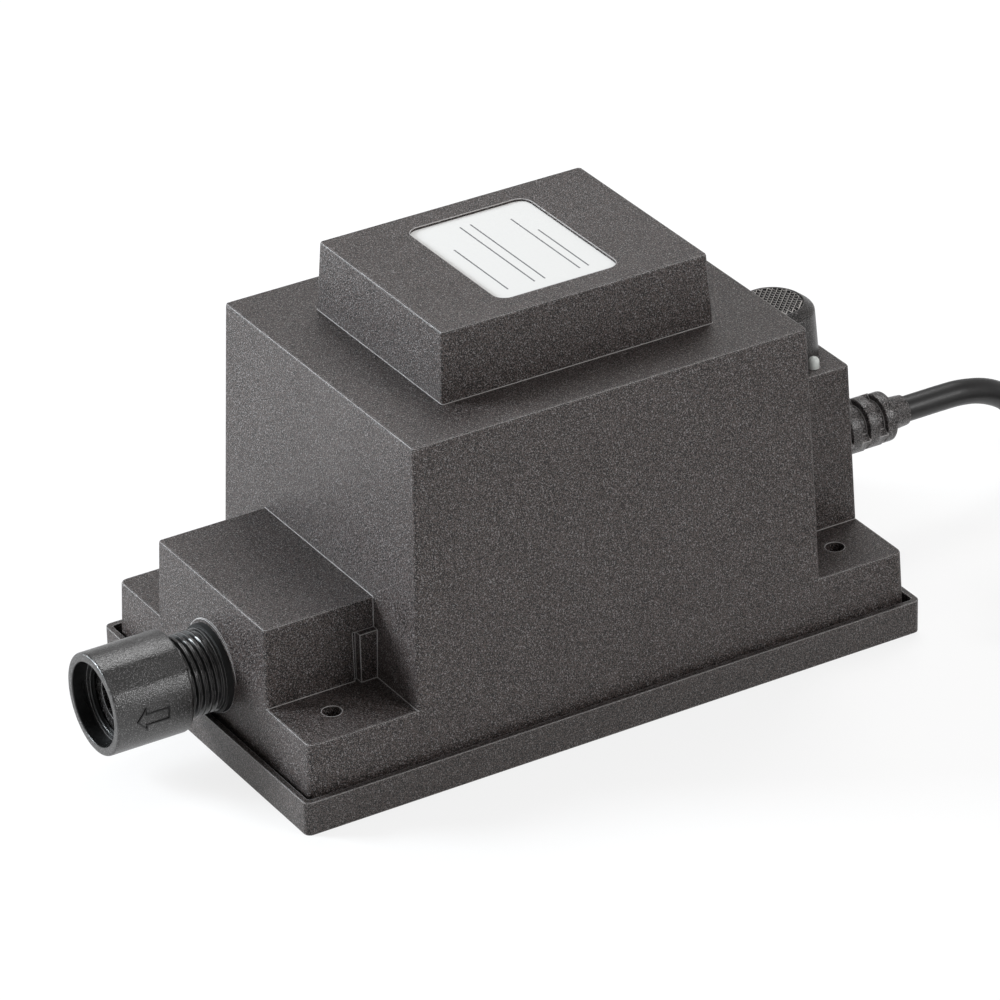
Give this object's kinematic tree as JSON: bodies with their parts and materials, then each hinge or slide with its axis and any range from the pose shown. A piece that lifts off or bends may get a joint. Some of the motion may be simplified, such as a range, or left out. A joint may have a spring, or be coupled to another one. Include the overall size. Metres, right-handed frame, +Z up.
{
  "type": "garden lighting power supply",
  "caption": "Outdoor low-voltage lamp transformer: stepped drafted housing on a base tray, threaded output with coupling nut, light sensor, lamp and rubber mains cord with plug.",
  "frame": {"origin": "centre of the underside of the base tray, midway along the housing", "axes": "+Z up from the resting face, +X along the long side toward the mains cord"},
  "size_m": [0.3858, 0.1629, 0.1134],
  "materials": {
    "tray_plastic": "fine spark texture",
    "housing_plastic": "fine spark texture",
    "label_white": "satin film",
    "socket_plastic": "semi-gloss",
    "nut_plastic": "satin",
    "carrier_plastic": "matte",
    "contact_brass": "tinned",
    "core_steel": "varnished laminations",
    "zinc_steel": "zinc plated",
    "bobbin_plastic": "matte",
    "copper_wire": "enamelled copper",
    "tape_yellow": "satin",
    "board_green": "solder mask",
    "terminal_plastic": "matte",
    "relay_plastic": "satin",
    "photocell_body": "gloss",
    "collar_plastic": "satin",
    "lens_dark": "diamond texture",
    "led_white": "diffused",
    "rubber_black": "matte",
    "cord_rubber": "matte",
    "tie_fabric": "woven hook and loop",
    "pin_nickel": "nickel plated"
  },
  "bodies": {
    "housing": {"base_tray": "tray_plastic", "base_gasket": "rubber_black", "tray_screws": "zinc_steel", "housing_cover": "housing_plastic", "label_plate": "label_white", "output_socket": "socket_plastic", "socket_seal": "rubber_black", "socket_back_nut": "socket_plastic", "contact_carrier": "carrier_plastic", "output_contacts": "contact_brass", "core_e_stack": "core_steel", "core_i_stack": "core_steel", "core_bolts": "zinc_steel", "core_bracket": "zinc_steel", "bracket_screws": "zinc_steel", "bobbin": "bobbin_plastic", "bobbin_pins": "contact_brass", "primary_winding": "copper_wire", "secondary_winding": "copper_wire", "winding_tape": "tape_yellow", "thermal_cutout": "carrier_plastic", "control_board": "board_green", "board_screws": "zinc_steel", "mains_terminal": "terminal_plastic", "relay": "relay_plastic", "smoothing_capacitor": "socket_plastic", "photocell": "photocell_body", "sensor_collar": "collar_plastic", "sensor_seal": "rubber_black", "sensor_lens": "lens_dark", "indicator_led": "led_white", "strain_relief": "cord_rubber", "relief_clamp": "zinc_steel", "cord_run": "cord_rubber", "cord_coil": "cord_rubber", "cord_tie": "tie_fabric", "plug_body": "cord_rubber", "plug_pins": "pin_nickel"},
    "clamp": {"clamp_ring": "rubber_black"},
    "nut": {"coupling_nut": "nut_plastic"}
  },
  "joints": [
    {"name": "nut_advance", "type": "slide", "parent": "housing", "child": "clamp", "axis": [1, 0, 0], "range_m": [-0.00365, 0.00815]},
    {"name": "nut_turn", "type": "hinge", "parent": "clamp", "child": "nut", "pos_m": [-0.11, 0, 0.0215], "axis": [1, 0, 0], "range_deg": [-720, 1620]}
  ],
  "couplings": [
    {"joint": "nut_advance", "follows": "nut_turn", "m_per_rad": 0.00028648}
  ]
}
